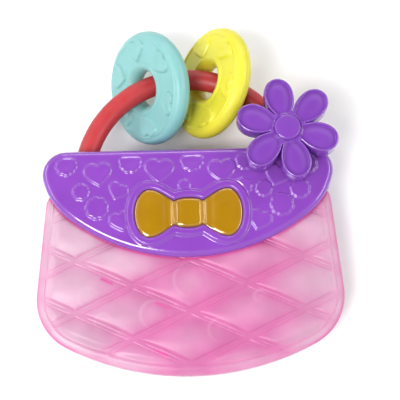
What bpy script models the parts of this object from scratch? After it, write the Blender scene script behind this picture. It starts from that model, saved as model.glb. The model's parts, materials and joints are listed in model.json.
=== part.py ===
"""Purse-shaped baby teether with a water-filled pouch, a flap, a handle with two loose rings, and a flower spinner.

The purse is modelled flat in its own plane, in millimetres: +X across it, +Y up towards the handle and +Z out
of its front, with Y = 0 on the flap's top edge and Z = 0 on the flap's flat back. Everything is then parented to
one empty that lays the purse down the way it rests: on the pouch's lower edge and on the rims of the two rings,
which are wider than the purse is thick and so prop its handle up by a few degrees.
"""

import math

import bmesh
import bpy

MM = 0.001
GAP = 0.3  # clearance left between touching pieces
OVERRUN = 1.0  # how far a cutter runs on past what it cuts
FINE = 0.01  # tolerance when comparing places

# Flap: a half-moon clamshell, two covers that meet at the parting plane
FLAP_THICK = 24.0
PARTING_Z = FLAP_THICK / 2
FLAP_WALL = 2.0
FLAP_ROUND = 3.0
FLAP_CORNER = (53.9, -10.4, 10.4)  # centre x, centre y, radius
FLAP_SHOULDER_RADIUS = 32.0
FLAP_BOTTOM = (0.0, 36.3, 85.0)  # centre x, centre y, radius
FLAP_BORDER = 2.4  # plain border left round the raised middle of the front
FLAP_PLATEAU = 0.8
FLAP_INNER = FLAP_THICK - FLAP_WALL
PLATEAU_FOOT = FLAP_INNER + 0.8
BEZEL_FOOT = FLAP_INNER + 1.2

# Pouch: two welded walls with water between them
POUCH_THICK = 19.2
POUCH_WALL = 1.5
POUCH_ROUND = 5.0
POUCH_TOP_CORNER = (55.3, -24.0, 8.0)
POUCH_LOWER_CORNER = (43.1, -64.8, 24.0)
POUCH_BOTTOM_RADIUS = 120.0
POUCH_SIDE_NORMAL = 5.4  # degrees, because the sides splay out downwards
TAB_HALF_WIDTH = 32.0  # header tab that hangs on the posts inside the flap
TAB_TOP = -5.5
TAB_THICK = 1.2

# Handle: half a circle of round bar with a disc at each end, trapped in the flap
ARCH_CENTRE_Y = -11.2
ARCH_RADIUS = 46.8
BAR_RADIUS = 4.7
ANCHOR_RADIUS = 6.8
ANCHOR_THICK = 3.0

# Bow inlay, seated in a pocket in the flap's front
BOW_CENTRE_Y = -29.3
BOW_BEZEL = 3.0
BOW_BEZEL_TOP = FLAP_THICK + 1.4
BOW_FLOOR = FLAP_THICK - 1.0
BOW_TOP = FLAP_THICK + 0.6
BOW_BORDER = 1.2  # raised edge left round the sunk lobes and knot
BOW_SUNK = 0.7
KNOT_HALF_WIDTH = 5.0
LOBE_START = 7.2

# Flower spinner, on an axle in a small tower that grips the handle's right leg
FLOWER_ANGLE = 20.5  # degrees round the arch from its right end
FLOWER_TURN = 42.5
PETALS = 6
PETAL_CENTRE = 13.5
PETAL_HALF_LENGTH = 9.1
PETAL_HALF_WIDTH = 6.2
PETAL_RIM = 1.3
PETAL_RECESS = 0.9
VALLEY_RADIUS = 10.2
FLOWER_WALL = 1.8
FLOWER_UNDERSIDE = 26.0
FLOWER_FACE = 35.0
FLOWER_PLATE = 1.6
TOWER_RADIUS = 7.2
TOWER_TOP = 25.4
HUB_RADIUS = 6.2
HUB_DROP = 0.6  # the hub's top, below the petals' faces
HUB_BORE_TOP = 32.0
HEAD_ROOM = (31.2, 34.0)
CAP_SEAT = (33.6, 37.0)
CAP_RADIUS = 5.6
CAP_SPAN = (33.9, 36.2)
CAP_ROUND = 0.6
AXLE_RADIUS = 1.7
AXLE_FOOT = 18.3
AXLE_TOP = 33.0
AXLE_HEAD_RADIUS = 3.4
AXLE_HEAD_SPAN = (31.6, 33.2)

# Rings: each is two hollow halves welded at the equator, loose on the handle
RING_OUTER = 26.0
RING_THICK = 9.6
RING_HOLE = 7.8
RING_SHELL = 1.8
TURQUOISE_PLACE = {"angle": 111.5, "radial": -0.3, "lift": 0.0, "lean": 38.0, "yaw": -3.6}
YELLOW_PLACE = {"angle": 75.3, "radial": -0.3, "lift": -0.1, "lean": 36.5, "yaw": 9.1}

# How the purse lies: handle end up, lowest points on the table, middle of the box over the origin
LYING_TILT = 5.58
LYING_SHIFT_Y = 20.9
LYING_SHIFT_Z = 6.8

# Inside the flap: posts that hold the pouch's tab, their sockets, and ribs over the handle's end discs
POST_PLACES = ((-22.0, -9.5), (0.0, -9.5), (22.0, -9.5))
POST_RADIUS = 2.4
POST_SPAN = (6.3, FLAP_INNER + 0.7)
SOCKET_RADIUS = 4.2
SOCKET_SPAN = (1.3, 10.2)
SOCKET_BORE_SPAN = (5.5, 11.5)
TAB_HOLE_SPAN = (9.0, 15.0)
SADDLE_HALF_WIDTH = 8.5
SADDLE_Y = (-10.7, -8.7)
SADDLE_BITE = 0.5  # how far each rib runs into its cover's wall
BAR_WAY = (-6, 186)  # degrees of the handle's way, a little past both its ends

# Fill plug in the pouch's back
PLUG_PLACE = (30.0, -24.5)
PLUG_RADIUS = 3.0
PLUG_LENGTH = 3.5
PLUG_INSET = 0.1

# Offsetting an outline: a sharp corner's longest mitre, and how near to the outline a point may stay
LONGEST_MITRE = 1.3
KEPT_SHARE = 0.97

PURPLE = (0.27, 0.075, 0.56)
PINK = (0.85, 0.32, 0.55)
RED = (0.56, 0.035, 0.03)
GOLD = (0.56, 0.28, 0.0)
TURQUOISE = (0.36, 0.74, 0.72)
YELLOW = (0.87, 0.78, 0.10)
WATER = (0.90, 0.75, 0.82)


# ---------------------------------------------------------------- outlines


def arc(centre_x, centre_y, radius, start, end, steps):
    """Points along an arc, with its angles in degrees."""
    angles = [math.radians(start + (end - start) * i / steps) for i in range(steps + 1)]
    return [(centre_x + radius * math.cos(a), centre_y + radius * math.sin(a)) for a in angles]


def bezier(a, b, c, d, steps):
    """Points along a cubic curve from a to d, leaving out a."""
    made = []
    for i in range(1, steps + 1):
        t = i / steps
        u = 1 - t
        weights = (u**3, 3 * u * u * t, 3 * u * t * t, t**3)
        made.append(tuple(sum(w * p[k] for w, p in zip(weights, (a, b, c, d))) for k in (0, 1)))
    return made


def closed_by_mirror(right_half):
    """A closed outline, anticlockwise, from its right half listed from top to bottom."""
    left_half = [(-x, y) for x, y in right_half if x > FINE]
    return left_half + list(reversed(right_half))


def flap_outline(inset=0.0):
    """The half-moon: a rounded corner, a fuller shoulder tangent to it, and one long arc below."""
    corner_x, corner_y, corner_r = FLAP_CORNER
    bottom_x, bottom_y, bottom_r = FLAP_BOTTOM
    shoulder_r = FLAP_SHOULDER_RADIUS
    across, down = corner_x - bottom_x, corner_y - bottom_y
    apart = math.hypot(across, down)
    from_bottom, from_corner = bottom_r - shoulder_r, shoulder_r - corner_r
    along = (from_bottom**2 - from_corner**2 + apart**2) / (2 * apart)
    aside = math.sqrt(from_bottom**2 - along**2)
    shoulder_x = bottom_x + (along * across + aside * down) / apart
    shoulder_y = bottom_y + (along * down - aside * across) / apart
    upper = math.degrees(math.atan2(corner_y - shoulder_y, corner_x - shoulder_x))
    lower = math.degrees(math.atan2(shoulder_y - bottom_y, shoulder_x - bottom_x))
    half = arc(corner_x, corner_y, corner_r - inset, 90, upper, 6)
    half += arc(shoulder_x, shoulder_y, shoulder_r - inset, upper, lower, 4)[1:]
    half += arc(bottom_x, bottom_y, bottom_r - inset, lower, -90, 8)[1:]
    return closed_by_mirror(half)


def pouch_outline(inset=0.0):
    """The purse's body: splayed sides, round lower corners and a shallow bottom arc."""
    top_x, top_y, top_r = POUCH_TOP_CORNER
    low_x, low_y, low_r = POUCH_LOWER_CORNER
    bottom_y = low_y + math.sqrt((POUCH_BOTTOM_RADIUS - low_r) ** 2 - low_x**2)
    meeting = math.degrees(math.atan2(low_y - bottom_y, low_x))
    half = arc(top_x, top_y, top_r - inset, 90, POUCH_SIDE_NORMAL, 4)
    half += arc(low_x, low_y, low_r - inset, POUCH_SIDE_NORMAL, meeting, 6)
    half += arc(0, bottom_y, POUCH_BOTTOM_RADIUS - inset, meeting, -90, 6)[1:]
    return closed_by_mirror(half)


def flower_outline(inset=0.0, steps=10):
    """Six elliptical petals round a small disc, as the furthest point of the flower in each direction."""
    centre, a, b = PETAL_CENTRE, PETAL_HALF_LENGTH - inset, PETAL_HALF_WIDTH - inset
    loop = []
    for i in range(PETALS * steps):
        turn = 2 * math.pi * i / (PETALS * steps)
        pitch = 2 * math.pi / PETALS
        off = (turn + pitch / 2) % pitch - pitch / 2
        spread = math.cos(off) ** 2 / a**2 + math.sin(off) ** 2 / b**2
        reach = centre * math.cos(off) / a**2
        under_root = reach**2 - spread * (centre**2 / a**2 - 1)
        radius = (reach + math.sqrt(max(under_root, 0.0))) / spread
        radius = max(radius, VALLEY_RADIUS - inset)
        loop.append((radius * math.cos(turn), radius * math.sin(turn)))
    return loop


def bow_outline():
    """A bow tie about its own centre: a knot with a bowed top and bottom, and two full lobes."""
    notch, lobe_top, tip = (6.2, 5.6), (17.2, 10.8), (23.8, 0.0)
    quarter = [(0.0, 6.9)] + bezier((0.0, 6.9), (2.4, 6.9), (4.6, 6.5), notch, 3)
    quarter += bezier(notch, (9.5, 7.2), (13.0, 10.8), lobe_top, 5)
    quarter += bezier(lobe_top, (21.2, 10.8), (23.8, 5.5), tip, 5)
    half = quarter + [(x, -y) for x, y in reversed(quarter[:-1])]
    return closed_by_mirror(half)


def offset_outline(loop, distance):
    """The outline grown outwards by a distance, or shrunk if that is negative, with crossed parts dropped."""
    count = len(loop)
    grown = []
    for i, (x, y) in enumerate(loop):
        before, after = loop[i - 1], loop[(i + 1) % count]
        normals = []
        for (x0, y0), (x1, y1) in ((before, (x, y)), ((x, y), after)):
            length = math.hypot(x1 - x0, y1 - y0)
            normals.append(((y1 - y0) / length, -(x1 - x0) / length))
        across, up = normals[0][0] + normals[1][0], normals[0][1] + normals[1][1]
        size = math.hypot(across, up)
        reach = min(2.0 / size, LONGEST_MITRE) * distance / size
        point = (x + across * reach, y + up * reach)
        nearest = min(math.hypot(point[0] - px, point[1] - py) for px, py in loop)
        if nearest > abs(distance) * KEPT_SHARE:
            grown.append(point)
    return grown


# ---------------------------------------------------------------- building blocks


def clear_scene():
    for old in list(bpy.data.objects):
        bpy.data.objects.remove(old, do_unlink=True)


def make_collection(name):
    made = bpy.data.collections.new(name)
    bpy.context.scene.collection.children.link(made)
    return made


def make_material(name, colour, roughness, alpha=1.0):
    made = bpy.data.materials.new(name)
    made.use_nodes = True
    shader = made.node_tree.nodes["Principled BSDF"]
    shader.inputs["Base Color"].default_value = (*colour, 1.0)
    shader.inputs["Roughness"].default_value = roughness
    shader.inputs["Metallic"].default_value = 0.0
    shader.inputs["Alpha"].default_value = alpha
    made.diffuse_color = (*colour, alpha)
    return made


def mesh_from_curve(curve_object):
    """Turns a curve object into a mesh object with its caps welded on, and removes the curve."""
    bpy.context.view_layer.update()
    graph = bpy.context.evaluated_depsgraph_get()
    mesh = bpy.data.meshes.new_from_object(curve_object.evaluated_get(graph))
    name = curve_object.name
    placed = curve_object.matrix_world.copy()
    bpy.data.objects.remove(curve_object, do_unlink=True)
    work = bmesh.new()
    work.from_mesh(mesh)
    bmesh.ops.remove_doubles(work, verts=work.verts, dist=0.001 * MM)
    bmesh.ops.recalc_face_normals(work, faces=work.faces)
    work.to_mesh(mesh)
    work.free()
    made = bpy.data.objects.new(name, mesh)
    made.matrix_world = placed
    return made


def flat_solid(name, loops, low, high):
    """A flat outline, with any holes as further loops, extruded from one height to another."""
    curve = bpy.data.curves.new(name, "CURVE")
    curve.dimensions = "2D"
    curve.fill_mode = "BOTH"
    curve.extrude = (high - low) / 2 * MM
    for loop in loops:
        spline = curve.splines.new("POLY")
        spline.points.add(len(loop) - 1)
        for point, (x, y) in zip(spline.points, loop):
            point.co = (x * MM, y * MM, 0, 1)
        spline.use_cyclic_u = True
    made = bpy.data.objects.new(name, curve)
    bpy.context.scene.collection.objects.link(made)
    made = mesh_from_curve(made)
    made.data.transform(made.matrix_world.Translation((0, 0, (low + high) / 2 * MM)))
    merge_flat_faces(made)
    return made


def merge_flat_faces(solid):
    """Joins each flat cap's triangles into one face, so that a bevel can run round it."""
    work = bmesh.new()
    work.from_mesh(solid.data)
    work.normal_update()
    for side in (1, -1):
        cap = [f for f in work.faces if f.normal.z * side > 0.99]
        bmesh.ops.dissolve_faces(work, faces=cap, use_verts=False)
    work.to_mesh(solid.data)
    work.free()


def drum(name, x, y, radius, low, high, sides=20):
    """An upright cylinder between two heights."""
    work = bmesh.new()
    bmesh.ops.create_cone(
        work,
        cap_ends=True,
        segments=sides,
        radius1=radius * MM,
        radius2=radius * MM,
        depth=(high - low) * MM,
    )
    bmesh.ops.translate(work, verts=work.verts, vec=(x * MM, y * MM, (low + high) / 2 * MM))
    return object_from(name, work)


def block(name, x_range, y_range, z_range):
    work = bmesh.new()
    bmesh.ops.create_cube(work, size=1.0)
    spans = (x_range, y_range, z_range)
    bmesh.ops.scale(work, verts=work.verts, vec=[(b - a) * MM for a, b in spans])
    bmesh.ops.translate(work, verts=work.verts, vec=[(a + b) / 2 * MM for a, b in spans])
    return object_from(name, work)


def object_from(name, work):
    mesh = bpy.data.meshes.new(name)
    work.to_mesh(mesh)
    work.free()
    return bpy.data.objects.new(name, mesh)


def join_meshes(name, objects):
    """One object from several that stay clear of each other."""
    work = bmesh.new()
    for part in objects:
        work.from_mesh(part.data)
        bpy.data.objects.remove(part, do_unlink=True)
    return object_from(name, work)


def place(made, collection, material, parent, smooth_angle=35):
    collection.objects.link(made)
    made.data.materials.clear()
    made.data.materials.append(material)
    made.data.shade_smooth()
    made.data.set_sharp_from_angle(angle=math.radians(smooth_angle))
    made.parent = parent
    return made


def hide(cutter, collection, parent):
    collection.objects.link(cutter)
    cutter.hide_render = True
    cutter.display_type = "WIRE"
    cutter.parent = parent
    return cutter


def combine(target, other, operation):
    modifier = target.modifiers.new(f"{operation.lower()}_{other.name}", "BOOLEAN")
    modifier.operation = operation
    modifier.solver = "EXACT"
    modifier.object = other


def add_bevel(target, width, segments, angle=60):
    bevel = target.modifiers.new("rounded_edge", "BEVEL")
    bevel.width = width * MM
    bevel.segments = segments
    bevel.limit_method = "ANGLE"
    bevel.angle_limit = math.radians(angle)


def add_shell(target, wall):
    shell = target.modifiers.new("wall", "SOLIDIFY")
    shell.thickness = wall * MM
    shell.offset = -1
    shell.use_even_offset = True


def tray(name, outline, face_z, rim_z, wall, rounding, segments=3):
    """A shallow tray: a face at one height and a wall down to an open rim, with one rounded edge between them."""
    low, high = sorted((face_z, rim_z))
    made = flat_solid(name, [outline], low, high)
    work = bmesh.new()
    work.from_mesh(made.data)
    open_side = [f for f in work.faces if abs(f.calc_center_median().z - rim_z * MM) < FINE * MM]
    bmesh.ops.delete(work, geom=open_side, context="FACES_ONLY")
    work.to_mesh(made.data)
    work.free()
    add_bevel(made, rounding, segments)
    add_shell(made, wall)
    return made


def bent_bar(name, radius, start, end, steps, round_sides):
    """Round bar along the handle's arch, between two angles in degrees."""
    curve = bpy.data.curves.new(name, "CURVE")
    curve.dimensions = "3D"
    curve.bevel_depth = radius * MM
    curve.bevel_resolution = round_sides
    curve.use_fill_caps = True
    line = arc(0, ARCH_CENTRE_Y, ARCH_RADIUS, start, end, steps)
    spline = curve.splines.new("POLY")
    spline.points.add(len(line) - 1)
    for point, (x, y) in zip(spline.points, line):
        point.co = (x * MM, y * MM, PARTING_Z * MM, 1)
    made = bpy.data.objects.new(name, curve)
    bpy.context.scene.collection.objects.link(made)
    return mesh_from_curve(made)


# ---------------------------------------------------------------- the pieces


def make_handle(store, cutters, material, parent):
    handle = bent_bar("handle", BAR_RADIUS, 0, 180, 28, 5)
    low = ARCH_CENTRE_Y - ANCHOR_THICK
    discs = []
    for side in (-1, 1):
        disc = drum("anchor", 0, 0, ANCHOR_RADIUS, 0, ANCHOR_THICK + 0.2, 24)
        # The disc stands on the bar's end, so its axis is turned from Z to Y.
        turned = [(v.co.x + side * ARCH_RADIUS * MM, low * MM + v.co.z, v.co.y + PARTING_Z * MM)
                  for v in disc.data.vertices]
        for vertex, spot in zip(disc.data.vertices, turned):
            vertex.co = spot
        disc.data.flip_normals()
        discs.append(disc)
    anchors = hide(join_meshes("cut_anchors", discs), cutters, parent)
    combine(handle, anchors, "UNION")
    return place(handle, store, material, parent)


def flower_axis():
    angle = math.radians(FLOWER_ANGLE)
    return ARCH_RADIUS * math.cos(angle), ARCH_CENTRE_Y + ARCH_RADIUS * math.sin(angle)


def saddle_blocks(low, high):
    """Ribs that hold the handle's end discs down, one over each."""
    made = []
    for side in (-1, 1):
        middle = side * ARCH_RADIUS
        across = (middle - SADDLE_HALF_WIDTH, middle + SADDLE_HALF_WIDTH)
        made.append(block("saddle", across, SADDLE_Y, (low, high)))
    return made


def make_front_cover(store, cutters, material, parent):
    x, y = flower_axis()
    cover = tray("flap_front_cover", flap_outline(), FLAP_THICK, PARTING_Z + GAP / 2, FLAP_WALL, FLAP_ROUND)
    seam = PARTING_Z + GAP / 2
    bow = [(px, py + BOW_CENTRE_Y) for px, py in bow_outline()]
    inside = [drum("post", px, py, POST_RADIUS, *POST_SPAN, 12) for px, py in POST_PLACES]
    inside += saddle_blocks(seam, FLAP_INNER + SADDLE_BITE)
    inside.append(drum("tower", x, y, TOWER_RADIUS, seam, TOWER_TOP, 24))
    inside.append(flat_solid("plateau", [flap_outline(FLAP_BORDER + FLAP_ROUND)], PLATEAU_FOOT,
                             FLAP_THICK + FLAP_PLATEAU))
    bezel = flat_solid("cut_bezel", [offset_outline(bow, BOW_BEZEL)], BEZEL_FOOT, BOW_BEZEL_TOP)
    for index, piece in enumerate(inside):
        piece.name = f"cut_front_{index}"
        combine(cover, hide(piece, cutters, parent), "UNION")
    combine(cover, hide(bezel, cutters, parent), "UNION")
    pocket = flat_solid("cut_bow_pocket", [offset_outline(bow, GAP)], BOW_FLOOR, BOW_BEZEL_TOP + OVERRUN)
    combine(cover, hide(pocket, cutters, parent), "DIFFERENCE")
    axle_hole = drum("cut_axle_hole", x, y, AXLE_RADIUS + GAP, AXLE_FOOT - GAP, TOWER_TOP + OVERRUN, 16)
    combine(cover, hide(axle_hole, cutters, parent), "DIFFERENCE")
    return place(cover, store, material, parent)


def make_back_cover(store, cutters, material, parent):
    x, y = flower_axis()
    seam = PARTING_Z - GAP / 2
    cover = tray("flap_back_cover", flap_outline(), 0, seam, FLAP_WALL, FLAP_ROUND)
    inside = [drum("socket", px, py, SOCKET_RADIUS, *SOCKET_SPAN, 14) for px, py in POST_PLACES]
    inside += saddle_blocks(FLAP_WALL - SADDLE_BITE, seam)
    inside.append(drum("tower", x, y, TOWER_RADIUS, FLAP_WALL / 2, seam, 24))
    for index, piece in enumerate(inside):
        piece.name = f"cut_back_{index}"
        combine(cover, hide(piece, cutters, parent), "UNION")
    bores = [drum("bore", px, py, POST_RADIUS + GAP, *SOCKET_BORE_SPAN, 12) for px, py in POST_PLACES]
    combine(cover, hide(join_meshes("cut_socket_bores", bores), cutters, parent), "DIFFERENCE")
    return place(cover, store, material, parent)


def clear_ways(covers, cutters, parent):
    """Cuts the way for the handle and for the pouch out of both covers."""
    bar_way = hide(bent_bar("cut_bar_way", BAR_RADIUS + GAP, *BAR_WAY, 30, 5), cutters, parent)
    low = (FLAP_THICK - POUCH_THICK) / 2 - GAP
    pouch_way = flat_solid("cut_pouch_way", [pouch_outline(-GAP)], low, FLAP_THICK - low)
    hide(pouch_way, cutters, parent)
    for cover in covers:
        combine(cover, bar_way, "DIFFERENCE")
        combine(cover, pouch_way, "DIFFERENCE")


def make_pouch_walls(store, cutters, material, parent):
    low = (FLAP_THICK - POUCH_THICK) / 2
    half_gap = GAP / 2
    holes = [drum("hole", px, py, POST_RADIUS + 2 * GAP, *TAB_HOLE_SPAN, 12) for px, py in POST_PLACES]
    post_holes = hide(join_meshes("cut_post_holes", holes), cutters, parent)
    walls = []
    for name, face, rim, tab in (
        ("pouch_front_wall", FLAP_THICK - low, PARTING_Z + half_gap,
         (PARTING_Z + half_gap, PARTING_Z + half_gap + TAB_THICK)),
        ("pouch_back_wall", low, PARTING_Z - half_gap,
         (PARTING_Z - half_gap - TAB_THICK, PARTING_Z - half_gap)),
    ):
        wall = tray(name, pouch_outline(), face, rim, POUCH_WALL, POUCH_ROUND, 4)
        top = POUCH_TOP_CORNER[1] + POUCH_TOP_CORNER[2]
        tall = (top - OVERRUN, TAB_TOP)
        tab_block = block(f"cut_tab_{name}", (-TAB_HALF_WIDTH, TAB_HALF_WIDTH), tall, tab)
        combine(wall, hide(tab_block, cutters, parent), "UNION")
        combine(wall, post_holes, "DIFFERENCE")
        walls.append(place(wall, store, material, parent))
    x, y = PLUG_PLACE
    port = drum("cut_fill_port", x, y, PLUG_RADIUS + GAP, low - OVERRUN,
                low + POUCH_WALL + OVERRUN, 16)
    combine(walls[1], hide(port, cutters, parent), "DIFFERENCE")
    return walls


def make_water_and_plug(store, cutters, water_material, plug_material, parent):
    low = (FLAP_THICK - POUCH_THICK) / 2
    inset = POUCH_WALL + GAP
    water = flat_solid("pouch_water", [pouch_outline(inset)], low + inset, FLAP_THICK - low - inset)
    add_bevel(water, POUCH_ROUND - POUCH_WALL, 3)
    x, y = PLUG_PLACE
    plug_foot = low + PLUG_INSET
    plug_top = plug_foot + PLUG_LENGTH
    recess = drum("cut_plug_recess", x, y, PLUG_RADIUS + 2 * GAP, low, plug_top + GAP, 16)
    combine(water, hide(recess, cutters, parent), "DIFFERENCE")
    place(water, store, water_material, parent)
    plug = drum("pouch_fill_plug", x, y, PLUG_RADIUS, plug_foot, plug_top, 16)
    place(plug, store, plug_material, parent)


def make_bow(store, cutters, material, parent):
    outline = [(x, y + BOW_CENTRE_Y) for x, y in bow_outline()]
    inlay = flat_solid("bow_inlay", [outline], BOW_FLOOR + GAP, BOW_TOP)
    basin = offset_outline(outline, -BOW_BORDER)
    parts = []
    for name, keep in (
        ("left", lambda x: x < -LOBE_START),
        ("knot", lambda x: abs(x) < KNOT_HALF_WIDTH),
        ("right", lambda x: x > LOBE_START),
    ):
        loop = [p for p in basin if keep(p[0])]
        parts.append(flat_solid(name, [loop], BOW_TOP - BOW_SUNK, BOW_TOP + OVERRUN))
    basins = hide(join_meshes("cut_bow_basins", parts), cutters, parent)
    combine(inlay, basins, "DIFFERENCE")
    return place(inlay, store, material, parent)


def make_flower(store, cutters, material, parent):
    """The flower's own origin is on its axle, in the spin empty's frame."""
    underside = FLOWER_UNDERSIDE + FLOWER_PLATE + GAP
    front = flat_solid("flower_front", [flower_outline()], underside, FLOWER_FACE)
    ceiling = FLOWER_FACE - PETAL_RECESS - FLOWER_WALL
    hollow = flat_solid("cut_flower_hollow", [flower_outline(FLOWER_WALL)], underside - OVERRUN,
                        ceiling)
    combine(front, hide(hollow, cutters, parent), "DIFFERENCE")
    hub = drum("cut_hub", 0, 0, HUB_RADIUS, underside, FLOWER_FACE - HUB_DROP, 20)
    combine(front, hide(hub, cutters, parent), "UNION")
    recesses = []
    for i in range(PETALS):
        petal = drum("recess", 0, 0, 1.0, FLOWER_FACE - PETAL_RECESS, FLOWER_FACE + OVERRUN, 18)
        turn = 2 * math.pi * i / PETALS
        for vertex in petal.data.vertices:
            along = PETAL_CENTRE * MM + vertex.co.x * (PETAL_HALF_LENGTH - PETAL_RIM)
            aside = vertex.co.y * (PETAL_HALF_WIDTH - PETAL_RIM)
            vertex.co.x = along * math.cos(turn) - aside * math.sin(turn)
            vertex.co.y = along * math.sin(turn) + aside * math.cos(turn)
        recesses.append(petal)
    combine(front, hide(join_meshes("cut_petal_recesses", recesses), cutters, parent), "DIFFERENCE")
    for name, radius, low, high in (
        ("cut_hub_bore", AXLE_RADIUS + GAP, underside - OVERRUN, HUB_BORE_TOP),
        ("cut_head_room", AXLE_HEAD_RADIUS + 2 * GAP, *HEAD_ROOM),
        ("cut_cap_seat", CAP_RADIUS + GAP, *CAP_SEAT),
    ):
        combine(front, hide(drum(name, 0, 0, radius, low, high, 20), cutters, parent), "DIFFERENCE")
    place(front, store, material, parent)

    bore = arc(0, 0, AXLE_RADIUS + GAP, 360, 0, 16)[:-1]
    plate = flat_solid("flower_back_plate", [flower_outline(), bore], FLOWER_UNDERSIDE,
                       FLOWER_UNDERSIDE + FLOWER_PLATE)
    place(plate, store, material, parent)

    cap = drum("flower_hub_cap", 0, 0, CAP_RADIUS, *CAP_SPAN, 28)
    add_bevel(cap, CAP_ROUND, 2)
    place(cap, store, material, parent)


def make_axle(store, cutters, material, parent):
    x, y = flower_axis()
    axle = drum("flower_axle", x, y, AXLE_RADIUS, AXLE_FOOT, AXLE_TOP, 16)
    head = drum("cut_axle_head", x, y, AXLE_HEAD_RADIUS, *AXLE_HEAD_SPAN, 20)
    combine(axle, hide(head, cutters, parent), "UNION")
    return place(axle, store, material, parent)


def ring_half_profile():
    """One half of a ring's hollow section: radius and height, outside first, down its outer side."""
    round_r = RING_THICK / 2
    seam = GAP / 2
    inner_x, outer_x = RING_HOLE + round_r, RING_OUTER - round_r
    start = math.degrees(math.asin(seam / round_r))
    outside = arc(inner_x, 0, round_r, 180 - start, 90, 3) + arc(outer_x, 0, round_r, 90, start, 3)
    shell_r = round_r - RING_SHELL
    start = math.degrees(math.asin(seam / shell_r))
    inside = arc(outer_x, 0, shell_r, start, 90, 2) + arc(inner_x, 0, shell_r, 90, 180 - start, 2)
    return outside + inside


def make_ring(colour_name, store, material, parent, spot):
    """Two halves in the frame of an empty on the arch's axis, so that turning it slides the ring on the handle."""
    turner = bpy.data.objects.new(f"{colour_name}_ring_turner", None)
    store.objects.link(turner)
    turner.parent = parent
    turner.location = (0, ARCH_CENTRE_Y * MM, PARTING_Z * MM)
    turner.rotation_euler = (0, 0, math.radians(spot["angle"]))
    profile = ring_half_profile()
    mesh = bpy.data.meshes.new(f"{colour_name}_ring_half")
    edges = [(i, (i + 1) % len(profile)) for i in range(len(profile))]
    mesh.from_pydata([(x * MM, 0, z * MM) for x, z in profile], edges, [])
    for half, flip in (("front", 0), ("back", 180)):
        made = bpy.data.objects.new(f"{colour_name}_ring_{half}_half", mesh)
        turned = made.modifiers.new("turned", "SCREW")
        turned.angle = 2 * math.pi
        turned.steps = turned.render_steps = 28
        turned.use_merge_vertices = True
        turned.merge_threshold = 0.01 * MM
        turned.use_smooth_shade = True
        store.objects.link(made)
        made.parent = turner
        made.location = ((ARCH_RADIUS + spot["radial"]) * MM, 0, spot["lift"] * MM)
        made.rotation_euler = (math.radians(spot["lean"] - 90 + flip), 0, math.radians(spot["yaw"]))
    mesh.materials.append(material)


def main():
    clear_scene()
    store = make_collection("purse_teether")
    cutters = make_collection("cutters")
    purple = make_material("purple_plastic", PURPLE, 0.30)
    pink = make_material("pink_film", PINK, 0.25, 0.6)
    red = make_material("red_bar", RED, 0.55)
    gold = make_material("gold_inlay", GOLD, 0.15)
    turquoise = make_material("turquoise_ring", TURQUOISE, 0.55)
    yellow = make_material("yellow_ring", YELLOW, 0.55)
    water = make_material("water", WATER, 0.05, 0.4)

    lying = bpy.data.objects.new("lying_purse", None)
    store.objects.link(lying)
    lying.rotation_euler = (math.radians(LYING_TILT), 0, 0)
    lying.location = (0, LYING_SHIFT_Y * MM, LYING_SHIFT_Z * MM)

    make_handle(store, cutters, red, lying)
    covers = [
        make_front_cover(store, cutters, purple, lying),
        make_back_cover(store, cutters, purple, lying),
    ]
    clear_ways(covers, cutters, lying)
    make_pouch_walls(store, cutters, pink, lying)
    make_water_and_plug(store, cutters, water, pink, lying)
    make_bow(store, cutters, gold, lying)
    make_axle(store, cutters, purple, lying)

    spinner = bpy.data.objects.new("flower_spinner", None)
    store.objects.link(spinner)
    spinner.parent = lying
    x, y = flower_axis()
    spinner.location = (x * MM, y * MM, 0)
    spinner.rotation_euler = (0, 0, math.radians(FLOWER_TURN))
    make_flower(store, cutters, purple, spinner)

    make_ring("turquoise", store, turquoise, lying, TURQUOISE_PLACE)
    make_ring("yellow", store, yellow, lying, YELLOW_PLACE)
    bpy.context.view_layer.update()


main()
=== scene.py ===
"""The looks of the purse-shaped water teether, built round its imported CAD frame.

Shapes are modelled in the purse's own frame, in millimetres: X across it, Y up towards the
handle, and Z out of its front, with Z = 0 on the flap's back. PURSE carries that frame to the
world, where the purse lies propped on its rings. PURSE, the rings' places and the flower's turn
are all read from the CAD frame.
"""

import json
import math

import bmesh
import bpy
import numpy as np
from mathutils import Matrix, Vector, geometry


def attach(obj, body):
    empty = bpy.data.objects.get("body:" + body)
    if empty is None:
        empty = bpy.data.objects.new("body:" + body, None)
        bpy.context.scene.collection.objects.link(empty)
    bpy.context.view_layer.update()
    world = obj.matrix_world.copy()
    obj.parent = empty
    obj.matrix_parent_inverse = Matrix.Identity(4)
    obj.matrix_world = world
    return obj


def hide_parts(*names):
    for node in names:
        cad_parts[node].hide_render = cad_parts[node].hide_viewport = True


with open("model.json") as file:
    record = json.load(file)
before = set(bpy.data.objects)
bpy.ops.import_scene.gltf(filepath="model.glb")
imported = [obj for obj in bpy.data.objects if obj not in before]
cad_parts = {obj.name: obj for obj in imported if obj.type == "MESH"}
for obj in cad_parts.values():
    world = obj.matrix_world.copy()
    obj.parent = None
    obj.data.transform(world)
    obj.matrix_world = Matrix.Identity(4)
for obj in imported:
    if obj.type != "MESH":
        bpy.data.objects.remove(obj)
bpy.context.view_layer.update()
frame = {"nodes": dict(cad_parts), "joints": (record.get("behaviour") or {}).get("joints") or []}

MM = 0.001
TINY = 1e-6  # mm, for points that should coincide
SHARP = math.radians(40)  # edges that turn by more than this are shaded as sharp

# -------------------------------- sizes shared with the CAD, in mm

ARCH_CENTRE = (0.0, -11.2, 12.0)
ARCH_RADIUS = 46.8
BAR_RADIUS = 4.7
ANCHOR_RADIUS = 6.8
ANCHOR_THICK = 3.0

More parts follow.
